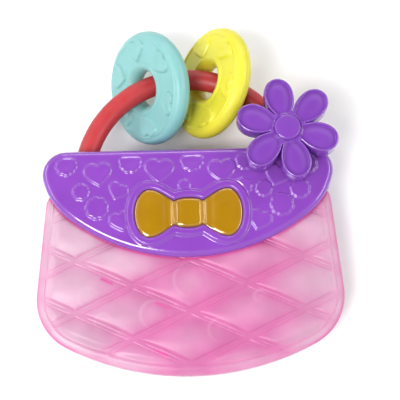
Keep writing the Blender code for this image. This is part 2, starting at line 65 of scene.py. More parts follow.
FLAP_FACE = 24.0
SEAM = 12.0  # height at which the two covers, and the two pouch walls, meet
GAP = 0.3
FLAP_WALL = 2.0
FLAP_ROUND = 3.0
FLAP_CORNER = (53.9, -10.4, 10.4)
FLAP_SHOULDER_RADIUS = 32.0
FLAP_BOTTOM = (0.0, 36.3, 85.0)

POUCH_BACK, POUCH_FACE = 2.4, 21.6
POUCH_WALL = 1.5
POUCH_TOP_CORNER = (55.3, -24.0, 8.0)
POUCH_LOWER_CORNER = (43.1, -64.8, 24.0)
POUCH_BOTTOM_RADIUS = 120.0
POUCH_SIDE_NORMAL = 5.4  # degrees, because the sides splay out downwards

BOW_CENTRE_Y = -29.3
BOW_FLOOR = 23.2
BOW_GAP = -0.04

FLOWER_UNDERSIDE, FLOWER_FACE = 26.0, 35.0
PLATE_THICK = 1.6
CAP_RADIUS = 5.6
TOWER_RADIUS = 7.2
TOWER_TOP = 25.4

RING_OUTER = 26.0
RING_HOLE = 7.8
RING_THICK = 9.6
RING_SHELL = 1.8
RING_SEAM = 0.08

# -------------------------------- frames


def joint(name):
    return next(j for j in frame["joints"] if j["name"] == name)


def purse_frame():
    """The purse's frame in the world, from the axis that the rings slide round."""
    slide = joint("turquoise_ring_on_handle")
    axis = Vector(slide["axis"])
    lean = Matrix.Rotation(math.atan2(-axis.y, axis.z), 4, "X")
    return Matrix.Translation(slide["pos_m"]) @ lean @ Matrix.Translation(-Vector(ARCH_CENTRE) * MM)


PURSE = purse_frame()


def node_points(*names):
    found = []
    for name in names:
        cad = frame["nodes"][name]
        found += [cad.matrix_world @ v.co for v in cad.data.vertices]
    return np.array(found)


def ring_frame(colour):
    """A ring's centre and axes: it is a turned body, so its thinnest direction is its axis."""
    points = node_points(f"{colour}_ring_front_half", f"{colour}_ring_back_half")
    centre = points.mean(0)
    _, _, directions = np.linalg.svd(points - centre, full_matrices=False)
    front = Vector(node_points(f"{colour}_ring_front_half").mean(0) - centre)
    axis = Vector(directions[2])
    axis = axis if axis.dot(front) > 0 else -axis
    across = PURSE.to_3x3() @ Vector((1, 0, 0))
    across = (across - axis * across.dot(axis)).normalized()
    columns = Matrix((across, axis.cross(across), axis)).transposed().to_4x4()
    return Matrix.Translation(centre) @ columns


def flower_frame():
    """The flower's axis, turned so that +X runs along one petal."""
    spin = joint("flower_spin")
    hub = PURSE.inverted() @ Vector(spin["pos_m"])
    centred = PURSE @ Matrix.Translation((hub.x, hub.y, 0))
    points = [centred.inverted() @ Vector(p) for p in node_points("flower_front")]
    tip = max(points, key=lambda p: p.x**2 + p.y**2)
    return centred @ Matrix.Rotation(math.atan2(tip.y, tip.x), 4, "Z")


# -------------------------------- outlines


def arc(centre_x, centre_y, radius, start, end, steps):
    turns = np.radians(np.linspace(start, end, steps + 1))
    return [(centre_x + radius * math.cos(a), centre_y + radius * math.sin(a)) for a in turns]


def bezier(a, b, c, d, steps):
    made = []
    for t in np.linspace(0, 1, steps + 1)[1:]:
        weights = ((1 - t) ** 3, 3 * (1 - t) ** 2 * t, 3 * (1 - t) * t * t, t**3)
        made.append(tuple(sum(w * p[k] for w, p in zip(weights, (a, b, c, d))) for k in (0, 1)))
    return made


def closed_by_mirror(right_half):
    return [(-x, y) for x, y in right_half if x > TINY] + list(reversed(right_half))


def evenly(loop, spacing):
    """The closed outline again, with its points evenly spaced."""
    points = np.array(loop)
    ends = np.vstack([points, points[:1]])
    along = np.concatenate([[0], np.cumsum(np.hypot(*np.diff(ends, axis=0).T))])
    at = np.linspace(0, along[-1], round(along[-1] / spacing), endpoint=False)
    return np.column_stack([np.interp(at, along, ends[:, k]) for k in (0, 1)])


def flap_outline():
    corner_x, corner_y, corner_r = FLAP_CORNER
    bottom_x, bottom_y, bottom_r = FLAP_BOTTOM
    shoulder_r = FLAP_SHOULDER_RADIUS
    across, down = corner_x - bottom_x, corner_y - bottom_y
    apart = math.hypot(across, down)
    along = ((bottom_r - shoulder_r) ** 2 - (shoulder_r - corner_r) ** 2 + apart**2) / (2 * apart)
    aside = math.sqrt((bottom_r - shoulder_r) ** 2 - along**2)
    shoulder_x = bottom_x + (along * across + aside * down) / apart
    shoulder_y = bottom_y + (along * down - aside * across) / apart
    upper = math.degrees(math.atan2(corner_y - shoulder_y, corner_x - shoulder_x))
    lower = math.degrees(math.atan2(shoulder_y - bottom_y, shoulder_x - bottom_x))
    half = arc(corner_x, corner_y, corner_r, 90, upper, 60)
    half += arc(shoulder_x, shoulder_y, shoulder_r, upper, lower, 60)[1:]
    half += arc(bottom_x, bottom_y, bottom_r, lower, -90, 120)[1:]
    return closed_by_mirror(half)


def pouch_outline():
    top_x, top_y, top_r = POUCH_TOP_CORNER
    low_x, low_y, low_r = POUCH_LOWER_CORNER
    bottom_y = low_y + math.sqrt((POUCH_BOTTOM_RADIUS - low_r) ** 2 - low_x**2)
    meeting = math.degrees(math.atan2(low_y - bottom_y, low_x))
    half = arc(top_x, top_y, top_r, 90, POUCH_SIDE_NORMAL, 30)
    half += arc(low_x, low_y, low_r, POUCH_SIDE_NORMAL, meeting, 60)
    half += arc(0, bottom_y, POUCH_BOTTOM_RADIUS, meeting, -90, 80)[1:]
    return closed_by_mirror(half)


def bow_outline():
    """A bow tie: a knot with a bowed top and bottom, and two full lobes."""
    knot_top, notch, lobe_top, tip = (0.0, 6.9), (6.2, 5.6), (17.2, 10.8), (23.8, 0.0)
    quarter = [knot_top] + bezier(knot_top, (2.4, 6.9), (4.6, 6.5), notch, 20)
    quarter += bezier(notch, (9.5, 7.2), (13.0, 10.8), lobe_top, 30)
    quarter += bezier(lobe_top, (21.2, 10.8), (23.8, 5.5), tip, 30)
    half = quarter + [(x, -y) for x, y in reversed(quarter[:-1])]
    return [(x, y + BOW_CENTRE_Y) for x, y in closed_by_mirror(half)]


def heart(x, y, width, turn):
    """A plump heart, point down at no turn: round lobes and a curved side, for a width of 1."""
    lobe_x, lobe_y, lobe_r = 0.22, 0.12, 0.28
    point = (0.0, -0.45)
    notch = math.degrees(math.acos(-lobe_x / lobe_r))
    right = arc(lobe_x, lobe_y, lobe_r, notch, -30, 24)
    right += bezier(right[-1], (0.37, -0.17), (0.13, -0.36), point, 16)
    return turned([(a * width, b * width) for a, b in closed_by_mirror(right[1:])], x, y, turn)


def blossom(x, y, width, turn):
    """A little flower: a circle with scalloped edges."""
    petals, scallop, plumpness, steps = 9, 0.13, 0.7, 112
    made = []
    for t in np.linspace(0, 2 * math.pi, steps, endpoint=False):
        wave = abs(math.cos(petals * t / 2)) ** plumpness
        radius = width / 2 * (1 - scallop + scallop * wave)
        made.append((radius * math.sin(t), radius * math.cos(t)))
    return turned(made, x, y, turn)


def turned(loop, x, y, turn):
    """An outline turned by some degrees and moved to a place."""
    c, s = math.cos(math.radians(turn)), math.sin(math.radians(turn))
    return [(x + a * c - b * s, y + a * s + b * c) for a, b in loop]


# -------------------------------- fields


def depth_inside(points, loop):
    """Each point's distance to an outline, positive inside it and negative outside."""
    ends = np.asarray(loop)
    nexts = np.roll(ends, -1, axis=0)
    nearest = np.full(len(points), np.inf)
    inside = np.zeros(len(points), bool)
    for a, b in zip(ends, nexts):
        side = b - a
        along = np.clip(((points - a) @ side) / max(side @ side, 1e-12), 0, 1)
        nearest = np.minimum(nearest, np.hypot(*(points - a - along[:, None] * side).T))
        crosses = (a[1] > points[:, 1]) != (b[1] > points[:, 1])
        if a[1] != b[1]:
            reach = a[0] + (points[:, 1] - a[1]) * side[0] / side[1]
            inside ^= crosses & (points[:, 0] < reach)
    return np.where(inside, nearest, -nearest)


def near(points, loop, margin):
    """Which points lie in the outline's box, grown by a margin."""
    low, high = np.min(loop, axis=0) - margin, np.max(loop, axis=0) + margin
    return ((points >= low) & (points <= high)).all(axis=1)


def step(value, low, high):
    """0 below low, 1 above high, and smooth between."""
    t = np.clip((value - low) / (high - low), 0, 1)
    return t * t * (3 - 2 * t)


def bump(value, centre, width):
    return np.exp(-(((value - centre) / width) ** 2))


def embossed(points, shapes, height, slope):
    """Raised shapes with a steep, rounded edge and a slightly sunken middle."""
    dish = 0.25
    raised = np.zeros(len(points))
    for shape in shapes:
        chosen = near(points, shape, slope)
        depth = depth_inside(points[chosen], shape)
        pad = step(depth, -slope / 2, slope / 2) - dish * step(depth, slope, slope * 4)
        raised[chosen] = np.maximum(raised[chosen], pad * height)
    return raised


def edge_lines(shapes, slope, spacing):
    """Lines along the edges of raised shapes, for the mesh to follow."""
    shares = (0.6, 0.3, 0.0, -0.3, -0.6)
    lines = []
    for shape in shapes:
        even = evenly(shape, spacing)
        lines += [even - outward(even) * slope * share for share in shares]
    return lines


# -------------------------------- mesh building


class Body:
    """Collects the points, in mm, and faces of one closed mesh."""

    def __init__(self):
        self.points = []
        self.faces = []

    def row(self, loop, height):
        start = len(self.points)
        heights = np.broadcast_to(height, len(loop))
        self.points += [(float(x), float(y), float(z)) for (x, y), z in zip(loop, heights)]
        return list(range(start, len(self.points)))

    def bridge(self, first, second):
        for i, (a, b) in enumerate(zip(first, second)):
            after = (i + 1) % len(first)
            self.faces.append((a, first[after], second[after], b))

    def stack(self, base, normals, levels):
        """Rows at each (inset, height) of an outline, joined to one another; gives back the rows."""
        rows = [self.row(base - normals * inset, height) for inset, height in levels]
        for lower, upper in zip(rows, rows[1:]):
            self.bridge(lower, upper)
        return rows

    def patch(self, outer, holes=(), inner=(), height=None):
        """Triangles between closed rows, with further points inside at heights from a function."""
        border = [i for row in (outer, *holes) for i in row]
        triangles_inside = 1
        inner = np.asarray(inner, float).reshape(-1, 2)
        own = self.row(inner, height(inner)) if len(inner) else []
        index = border + own
        flat = [Vector(self.points[i][:2]) for i in index]
        edges, start = [], 0
        for row in (outer, *holes):
            edges += [(start + i, start + (i + 1) % len(row)) for i in range(len(row))]
            start += len(row)
        _, _, faces, origins, _, _ = geometry.delaunay_2d_cdt(flat, edges, [], triangles_inside, TINY)
        corners = [[index[origins[v][0]] for v in face] for face in faces]
        if holes:
            places = np.array(self.points)[:, :2]
            middles = places[np.array(corners)].mean(axis=1)
            for hole in holes:
                keep = depth_inside(middles, places[hole]) < 0
                corners = [c for c, kept in zip(corners, keep) if kept]
                middles = middles[keep]
        self.faces += [tuple(c) for c in corners]

    def build(self, name, place, attributes=None):
        mesh = bpy.data.meshes.new(name)
        mesh.from_pydata(np.array(self.points) * MM, [], self.faces)
        for label, values in (attributes or {}).items():
            layer = mesh.attributes.new(label, "FLOAT", "POINT")
            layer.data.foreach_set("value", np.asarray(values, np.float32))
        work = bmesh.new()
        work.from_mesh(mesh)
        bmesh.ops.recalc_face_normals(work, faces=work.faces)
        work.to_mesh(mesh)
        work.free()
        mesh.transform(place)
        smooth(mesh)
        return add(name, mesh)


def outward(loop):
    """Unit normals, pointing out, of an evenly spaced outline."""
    tangent = np.roll(loop, -1, axis=0) - np.roll(loop, 1, axis=0)
    normal = np.column_stack([tangent[:, 1], -tangent[:, 0]])
    normal /= np.hypot(*normal.T)[:, None]
    area = np.sum(loop[:, 0] * np.roll(loop[:, 1], -1) - np.roll(loop[:, 0], -1) * loop[:, 1])
    return normal if area > 0 else -normal


def grid_inside(loop, spacing, margin, holes=(), lines=()):
    """Points on a triangular grid inside an outline, and the points of some closed feature lines."""
    clearance = 0.62 * spacing
    low, high = np.min(loop, axis=0), np.max(loop, axis=0)
    rise = spacing * math.sqrt(3) / 2
    points = []
    for k, y in enumerate(np.arange(low[1], high[1], rise)):
        row = np.arange(low[0] + (k % 2) * spacing / 2, high[0], spacing)
        points.append(np.column_stack([row, np.full(len(row), y)]))
    points = np.vstack(points)
    for line in lines:
        chosen = near(points, line, spacing)
        clear = np.abs(depth_inside(points[chosen], line)) > clearance
        keep = np.ones(len(points), bool)
        keep[np.flatnonzero(chosen)[~clear]] = False
        points = points[keep]
    points = np.vstack([points, *lines]) if len(lines) else points
    points = points[depth_inside(points, loop) > margin]
    for hole in holes:
        points = points[depth_inside(points, hole) < -margin]
    return points


def mesh_points(loop, spacing, margin, lines):
    """Points on a triangular grid inside an outline, thinned out beside some lines' points."""
    clearance = 0.6 * spacing
    grid = grid_inside(loop, spacing, margin)
    chosen = np.vstack(lines)
    chosen = chosen[depth_inside(chosen, loop) > margin]
    gaps = np.array([np.min(np.hypot(*(chosen - point).T)) for point in grid])
    return np.vstack([grid[gaps > clearance], chosen])


def rounded(radius, top, steps, start_inset=0.0):
    """Levels of a quarter-round edge that ends at a height."""
    levels = []
    for turn in np.linspace(0, math.pi / 2, steps + 1):
        inset = start_inset + radius * (1 - math.cos(turn))
        levels.append((inset, top - radius * (1 - math.sin(turn))))
    return levels


def prism(name, loop, low, high):
    """A plain closed prism, used to cut or to add."""
    body = Body()
    bottom, top = body.row(loop, low), body.row(loop, high)
    body.bridge(bottom, top)
    body.patch(bottom)
    body.patch(top)
    return body.build(name, PURSE)


def circle(x, y, radius, count=64):
    return arc(x, y, radius, 0, 360, count)[:-1]


def combine(target, other, operation):
    """Applies one Boolean at once and removes the other object."""
    modifier = target.modifiers.new("combine", "BOOLEAN")
    modifier.operation = operation
    modifier.solver = "MANIFOLD"
    modifier.object = other
    graph = bpy.context.evaluated_depsgraph_get()
    made = bpy.data.meshes.new_from_object(target.evaluated_get(graph))
    target.modifiers.clear()
    target.data = made
    bpy.data.objects.remove(other, do_unlink=True)


def smooth(mesh):
    mesh.shade_smooth()
    mesh.set_sharp_from_angle(angle=SHARP)


def add(name, data):
    """A new object in the scene."""
    made = bpy.data.objects.new(name, data)
    bpy.context.scene.collection.objects.link(made)
    return made


# -------------------------------- materials


NOISE_SPAN = (0.35, 0.65)  # where most of a noise texture's values lie


class Shader:
    """Small helper round one Principled material."""

    def __init__(self, name, **sockets):
        self.material = bpy.data.materials.new(name)
        self.material.use_nodes = True
        self.tree = self.material.node_tree
        self.main = self.tree.nodes["Principled BSDF"]
        for socket, value in sockets.items():
            self.main.inputs[socket.replace("_", " ")].default_value = value
        self.place = self.node("TexCoord").outputs["Object"]

    def node(self, kind, inputs=None, **settings):
        made = self.tree.nodes.new(f"ShaderNode{kind}")
        for key, value in settings.items():
            setattr(made, key, value)
        for key, value in (inputs or {}).items():
            if isinstance(value, bpy.types.NodeSocket):
                self.tree.links.new(value, made.inputs[key])
            else:
                made.inputs[key].default_value = value
        return made

    def noise(self, scale, detail):
        made = self.node("TexNoise", {"Vector": self.place, "Scale": scale, "Detail": detail})
        return made.outputs["Fac"]

    def attribute(self, name):
        return self.node("Attribute", attribute_name=name).outputs["Fac"]

    def ramp(self, value, low, high):
        """A noise's values spread between two others."""
        start, end = NOISE_SPAN
        inputs = {"Value": value, "From Min": start, "From Max": end, "To Min": low, "To Max": high}
        return self.node("MapRange", inputs).outputs["Result"]

    def mix(self, share, first, second):
        made = self.node("Mix", {"Factor": share}, data_type="RGBA")
        for slot, value in (("A", first), ("B", second)):
            socket = next(s for s in made.inputs if s.name == slot and s.type == "RGBA")
            if isinstance(value, bpy.types.NodeSocket):
                self.tree.links.new(value, socket)
            else:
                socket.default_value = (*value, 1.0)
        return next(s for s in made.outputs if s.type == "RGBA")

    def link(self, value, socket):
        self.tree.links.new(value, self.main.inputs[socket])

    def relief(self, coarse, fine, distance):
        """Two bumps, one over the other: a soft waviness and a fine grain."""
        soft = {"Height": coarse, "Strength": 0.5, "Distance": distance * 4}
        wavy = self.node("Bump", soft).outputs[0]
        sharp = {"Height": fine, "Strength": 0.5, "Distance": distance, "Normal": wavy}
        self.link(self.node("Bump", sharp).outputs[0], "Normal")


def moulded(name, colour, deeper, roughness, grain, edge=None, **sockets):
    """Moulded plastic: two close tones, uneven gloss, a faint grain, and where given a darker edge,
    partly painted shade.
    """
    made = Shader(name, **sockets)
    tone = made.mix(made.ramp(made.noise(70.0, 2.0), 0.0, 1.0), colour, deeper)
    if edge:
        tone = made.mix(made.attribute("seam"), tone, edge)
    made.link(tone, "Base Color")
    made.link(made.ramp(made.noise(160.0, 4.0), roughness * 0.85, roughness * 1.2), "Roughness")
    made.relief(made.noise(90.0, 1.0), made.noise(2600.0, 2.0), grain)
    return made.material


def film(name, colour, deep, sheen_tone, rough):
    """Tinted, see-through film: its second tone along its seams and where light or shade is painted,
    whitish under a painted sheen, denser where thick.
    """
    made = Shader(name, Roughness=rough, IOR=1.45)
    mottled = {0: made.attribute("seam"), 1: made.ramp(made.noise(55.0, 3.0), -0.10, 0.10)}
    share = made.node("Math", mottled, operation="ADD", use_clamp=True).outputs[0]
    made.link(made.mix(share, made.mix(made.attribute("painted_sheen"), colour, sheen_tone), deep), "Base Color")
    uneven = {0: made.attribute("cover"), 1: made.ramp(made.noise(70.0, 2.0), 0.93, 1.07)}
    made.link(made.node("Math", uneven, operation="MULTIPLY", use_clamp=True).outputs[0], "Alpha")
    made.relief(made.noise(60.0, 2.0), made.noise(1200.0, 2.0), 0.00004)
    return made.material


PURPLE = moulded("purple_moulding", (0.212, 0.050, 0.405), (0.195, 0.044, 0.378), 0.18, 0.00002,
                 Coat_Weight=0.6, Coat_Roughness=0.05, Coat_IOR=1.6)
DEEP_PURPLE = moulded("purple_flower_moulding", (0.182, 0.046, 0.375), (0.168, 0.040, 0.35),
                      0.19, 0.00002, Coat_Weight=0.7, Coat_Roughness=0.06, Coat_IOR=1.7)
# The gold darkens towards its edge: partly painted shade of the window's walls, partly the purple pocket
# seen through the thin amber.
GOLD = moulded("gold_moulding", (0.42, 0.21, 0.0), (0.385, 0.188, 0.0), 0.16, 0.00002,
               edge=(0.23, 0.09, 0.01), Metallic=0.2, Specular_IOR_Level=0.2,
               Coat_Weight=0.9, Coat_Roughness=0.05, Coat_IOR=1.7)
RED = moulded("red_bar_moulding", (0.45, 0.030, 0.035), (0.39, 0.022, 0.027), 0.44, 0.00004)
TURQUOISE = moulded("turquoise_moulding", (0.215, 0.47, 0.46), (0.195, 0.44, 0.43), 0.38, 0.00003,
                    Subsurface_Weight=0.15, Subsurface_Scale=0.003)
YELLOW = moulded("yellow_moulding", (0.70, 0.635, 0.042), (0.66, 0.60, 0.034), 0.38, 0.00003,
                 Subsurface_Weight=0.15, Subsurface_Scale=0.003)
# The pink film takes its deep tone along seams and where shade is painted, and its whitish tone where a
# sheen is painted.
PINK = film("pink_film_quilted", (0.66, 0.175, 0.405), (0.60, 0.07, 0.29), (0.76, 0.47, 0.62), 0.33)
# The water's second tone is paler: it makes the painted highlight round the bubbles.
WATER = film("water_tinted", (0.90, 0.55, 0.74), (0.98, 0.85, 0.92), (0.95, 0.80, 0.88), 0.05)
PLUG = moulded("plug_moulding", (0.86, 0.42, 0.62), (0.80, 0.36, 0.56), 0.35, 0.00003)


def wear(made, material, body, node):
    """Gives a piece its material and its body, and hides the CAD node that it stands for."""
    made.data.materials.clear()
    made.data.materials.append(material)
    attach(made, body)
    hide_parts(node)


# -------------------------------- the flap

# Raised shapes on the flap's front: kind, x, y, width, turn
FLAP_SHAPES = (
    (blossom, -53.4, -6.9, 9.6, 20),
    (heart, -39.4, -11.1, 12.2, 6),
    (blossom, -25.3, -6.0, 10.0, 0),
    (heart, -12.6, -10.0, 12.7, -4),
    (blossom, 2.0, -5.6, 10.2, 12),
    (heart, 15.1, -10.7, 12.2, 4),
    (blossom, 25.6, -6.3, 8.9, 0),
    (heart, 39.2, -13.4, 11.0, -20),
    (blossom, 52.6, -8.6, 9.0, 10),
    (blossom, -46.9, -19.0, 7.4, 30),
    (heart, -30.7, -19.0, 8.6, -24),
    (blossom, -39.9, -26.4, 10.1, 8),
    (heart, -29.6, -32.4, 9.8, 14),
    (blossom, 24.1, -18.1, 7.9, 0),
    (blossom, 33.2, -19.2, 7.4, 24),
    (blossom, 49.0, -19.7, 8.7, 0),
    (blossom, 40.8, -26.4, 10.3, 12),
    (heart, 30.9, -33.2, 10.0, -18),
    (blossom, -1.7, -17.2, 5.4, 0),
)
SHAPE_HEIGHT = 0.6
SHAPE_SLOPE = 1.0
SHAPE_BORDER = (3.2, 4.4)  # between these distances from the flap's edge the shapes fade in
BEZEL_WIDTH = 3.5
BEZEL_HEIGHT = 1.1
BEZEL_DIP = 0.7  # how far the bezel falls off again at the window, as a share of its height
CROWN_HEIGHT = 0.5
CROWN_REACH = 9.0
BEZEL_LINES = (0.35, 0.6, 0.9, 1.2, 1.6, 2.5, 2.8, 3.1, 3.4, 3.7, 4.0)
HANDLE_WAY = (-8, 188)  # degrees round the arch
TOWER_FOOT = 0.6


def flap_height(points, bow, shapes):
    """The front face: a gentle crown, the raised shapes, and the border round the bow's window."""
    edge = depth_inside(points, evenly(flap_outline(), 1.0))
    crown = CROWN_HEIGHT * step(edge, FLAP_ROUND, FLAP_ROUND + CROWN_REACH)
    beyond = -depth_inside(points, bow)
    away = step(beyond, BEZEL_WIDTH, BEZEL_WIDTH + 0.6)
    inner_round = 1 - (1 - step(beyond, BOW_GAP, BOW_GAP + 0.9)) * BEZEL_DIP
    bezel = BEZEL_HEIGHT * (1 - step(beyond, BEZEL_WIDTH - 0.9, BEZEL_WIDTH + 0.5)) * inner_round
    raised = embossed(points, shapes, SHAPE_HEIGHT, SHAPE_SLOPE)
    return FLAP_FACE + crown + bezel + raised * away * step(edge, *SHAPE_BORDER)


def flap_shell(name, levels, ceiling, shapes=(), bow=None):
    """One cover: outer wall with its rounded edge, inner wall and ceiling, and a plain face, or
    with a bow a raised one.
    """
    outline = evenly(flap_outline(), 0.7)
    normals = outward(outline)
    body = Body()
    outer = body.stack(outline, normals, levels)
    inner = body.stack(outline, normals, [(FLAP_WALL, levels[0][1]), (FLAP_WALL, ceiling)])
    body.bridge(outer[0], inner[0])
    body.patch(inner[-1])
    rim = outline - normals * levels[-1][0]
    if bow is None:
        points = grid_inside(rim, 2.5, 0.6)
        body.patch(outer[-1], (), points, lambda p: np.full(len(p), levels[-1][1]))
        return body.build(name, PURSE)
    window = bow + outward(bow) * BOW_GAP
    lip = body.row(window, flap_height(window, bow, shapes))
    floor = body.row(window, BOW_FLOOR)
    body.bridge(lip, floor)
    body.patch(floor)
    lines = edge_lines(shapes, SHAPE_SLOPE, 0.42)
    lines += [bow + outward(bow) * away for away in BEZEL_LINES]
    points = grid_inside(rim, 0.6, 0.3, [window], lines)
    body.patch(outer[-1], [lip], points, lambda p: flap_height(p, bow, shapes))
    return body.build(name, PURSE)


def handle_way():
    """The handle's bar, a little fatter, to cut its way into the flap."""
    body = Body()
    sweep(body, [(angle, BAR_RADIUS + GAP) for angle in np.linspace(*HANDLE_WAY, 120)], 40)
    return body.build("way", PURSE)


def pouch_way():
    """The pouch, a little bigger, to cut its way into the flap."""
    loop = evenly(pouch_outline(), 1.0)
    loop = loop + outward(loop) * GAP
    return prism("way", loop, POUCH_BACK - GAP, POUCH_FACE + GAP)


def make_flap():
    bow = evenly(bow_outline(), 0.4)
    shapes = [np.array(kind(x, y, width, turn)) for kind, x, y, width, turn in FLAP_SHAPES]
    hub = PURSE.inverted() @ Vector(joint("flower_spin")["pos_m"]) / MM
    front_levels = [(0.0, SEAM + GAP / 2)] + rounded(FLAP_ROUND, FLAP_FACE, 9)
    front = flap_shell("flap_front", front_levels, FLAP_FACE - FLAP_WALL, shapes, bow)
    back_edge = [(inset, -height) for inset, height in rounded(FLAP_ROUND, 0.0, 9)]
    back = flap_shell("flap_back", [(0.0, SEAM - GAP / 2)] + back_edge, FLAP_WALL)
    towers = ((front, SEAM + GAP / 2, TOWER_TOP), (back, TOWER_FOOT, SEAM - GAP / 2))
    for cover, low, high in towers:
        combine(cover, prism("tower", circle(hub.x, hub.y, TOWER_RADIUS, 96), low, high), "UNION")
        combine(cover, handle_way(), "DIFFERENCE")
        combine(cover, pouch_way(), "DIFFERENCE")
        smooth(cover.data)
    wear(front, PURPLE, "purse", "flap_front_cover")
    wear(back, PURPLE, "purse", "flap_back_cover")


# -------------------------------- the bow

BOW_BASE, BOW_CROWN = 22.9, 25.1
BOW_ROUND = 2.2
BOW_EDGE_DROP = 0.5  # how much lower the bow's edge is, as a share of its rounding
LOBE_RISE, KNOT_RISE = 0.35, 0.35
KNOT_RIDGE = 6.1
# The two ridges beside the knot and the hollow outside them: place, height, width
RIDGES = (
    (KNOT_RIDGE - 0.55, 0.65, 0.5),
    (KNOT_RIDGE + 0.85, 0.45, 0.4),
    (9.4, -0.35, 1.6),
)
BOW_EDGE_LINES = (0.25, 0.5, 0.75, 1.0, 1.3, 1.6, 1.9, 2.2)
RIDGE_LINES = (-1.2, -0.85, -0.55, -0.25, 0.1, 0.45, 0.85, 1.2, 1.6)


def bow_height(points, bow):
    """Rounded edges, softly crowned lobes and knot, and a ridge on each side of the knot."""
    depth = np.clip(depth_inside(points, bow), 0, None)
    aside = np.abs(points[:, 0])
    inward = np.clip(BOW_ROUND - depth, 0, None)
    edge = BOW_ROUND - np.sqrt(BOW_ROUND**2 - inward**2)
    lobe = LOBE_RISE * step(aside, 8.0, 15.0) * step(depth, 1.5, 7.0)
    ridge = sum(height * bump(aside, place, width) for place, height, width in RIDGES)
    knot = KNOT_RISE * step(KNOT_RIDGE - aside, 0.5, 4.0)
    return BOW_CROWN - BOW_EDGE_DROP * edge + (lobe + ridge + knot) * step(depth, 0.0, 1.4)


def make_bow():
    bow = evenly(bow_outline(), 0.35)
    body = Body()
    base = body.row(bow, BOW_BASE)
    top = body.row(bow, bow_height(bow, bow) - 0.1)
    body.bridge(base, top)
    body.patch(base)
    lines = [bow - outward(bow) * inset for inset in BOW_EDGE_LINES]
    up = np.linspace(-8, 8, 40) + BOW_CENTRE_Y
    for side in (1, -1):
        for off in RIDGE_LINES:
            lines.append(np.column_stack([np.full(len(up), side * (KNOT_RIDGE + off)), up]))
    body.patch(top, (), mesh_points(bow, 0.42, 0.15, lines), lambda p: bow_height(p, bow))
    places = np.array(body.points)[:, :2]
    # Darker towards the bow's edge over 1.5 mm: painted shade of the window's walls, with the purple
    # pocket seen through the thin amber.
    painted_shading = 1 - step(depth_inside(places, bow), 0.0, 1.5)
    wear(body.build("bow", PURSE, {"seam": painted_shading}), GOLD, "purse", "bow_inlay")


# -------------------------------- the handle


def sweep(body, stations, sides):
    """Round bar along the arch through stations, each an angle in degrees and a radius.

    Beyond the arch's ends the bar goes on straight, and its ends are flat.
    """
    x, y, z = ARCH_CENTRE
    rows = []
    for angle, radius in stations:
        run = math.radians(min(max(angle, 0), 180))
        straight = (angle - math.degrees(run)) / math.degrees(1) * ARCH_RADIUS
        centre = Vector((x + ARCH_RADIUS * math.cos(run), y + ARCH_RADIUS * math.sin(run), z))
        centre += Vector((-math.sin(run), math.cos(run), 0)) * straight
        out = Vector((math.cos(run), math.sin(run), 0))
        turns = np.linspace(0, 2 * math.pi, sides, endpoint=False)
        places = [centre + (out * math.cos(t) + Vector((0, 0, 1)) * math.sin(t)) * radius for t in turns]
        start = len(body.points)
        body.points += [tuple(p) for p in places]
        rows.append(list(range(start, start + sides)))
    for lower, upper in zip(rows, rows[1:]):
        body.bridge(lower, upper)
    body.faces += [tuple(rows[0]), tuple(rows[-1])]


def make_handle():
    """The arched bar, with a disc at each end that the flap's covers hold."""
    chamfer, turn = 0.4, 0.5
    disc = math.degrees(ANCHOR_THICK / ARCH_RADIUS)
    start = [(-disc, ANCHOR_RADIUS - chamfer), (-disc + turn, ANCHOR_RADIUS),
             (-turn, ANCHOR_RADIUS), (0.0, ANCHOR_RADIUS - chamfer), (0.05, BAR_RADIUS)]
    bar = [(angle, BAR_RADIUS) for angle in np.linspace(0.6, 179.4, 200)]
    end = [(180 - angle, radius) for angle, radius in reversed(start)]
    body = Body()
    sweep(body, start + bar + end, 72)
    wear(body.build("handle_bar", PURSE), RED, "purse", "handle")


# -------------------------------- the flower

PETALS = 6
PETAL_CENTRE, PETAL_LONG, PETAL_WIDE, PETAL_EGG = 13.6, 9.1, 6.3, 0.15
PETAL_RIM = 0.75
PETAL_SUNK = 1.4
PETAL_DOME = 0.5
FLOWER_ROUND = 0.8
FLOWER_EDGE_LINES = (0.08, 0.2, 0.35, 0.55, 0.8)
PETAL_RIM_LINES = (0.78, 0.94, 1.1, 1.26, 1.42)
GROOVE_LINES = (5.7, 5.9, 6.1, 6.3, 6.5)
GROOVE_DEPTH = 0.5
HUB_SEAT = 7.0
BORE_RADIUS = 2.1
HEAD_ROOM_RADIUS = 4.0
HEAD_ROOM_LOW, HEAD_ROOM_TOP = 31.2, 33.7
CAP_LOW, CAP_HIGH = 33.95, 35.9
CAP_ROUND = 0.7
CAP_DOME = 0.3


def petal_outline():
    """One petal along +X, a little wider towards its tip."""
    made = []
    for t in np.linspace(0, 2 * math.pi, 120, endpoint=False):
        along, aside = math.cos(t), math.sin(t)
        made.append((PETAL_CENTRE + PETAL_LONG * along, PETAL_WIDE * aside * (1 + PETAL_EGG * along)))
    return np.array(made)


def all_petals():
    return [np.array(turned(petal_outline(), 0, 0, 360 * k / PETALS)) for k in range(PETALS)]


def flower_outline():
    """The outer edge of the petals and the disc that joins them."""
    reach = np.linspace(HUB_SEAT + 0.9, 24.0, 400)
    petal = petal_outline()
    radii = []
    turns = np.radians(np.arange(-30, 30, 0.5))
    for turn in turns:
        ray = np.column_stack([reach * math.cos(turn), reach * math.sin(turn)])
        inside = depth_inside(ray, petal) > 0
        radii.append(reach[inside].max() if inside.any() else reach[0])
    loop = []
    for k in range(PETALS):
        for turn, radius in zip(turns, radii):
            at = turn + 2 * math.pi * k / PETALS
            loop.append((radius * math.cos(at), radius * math.sin(at)))
    return evenly(loop, 0.4)


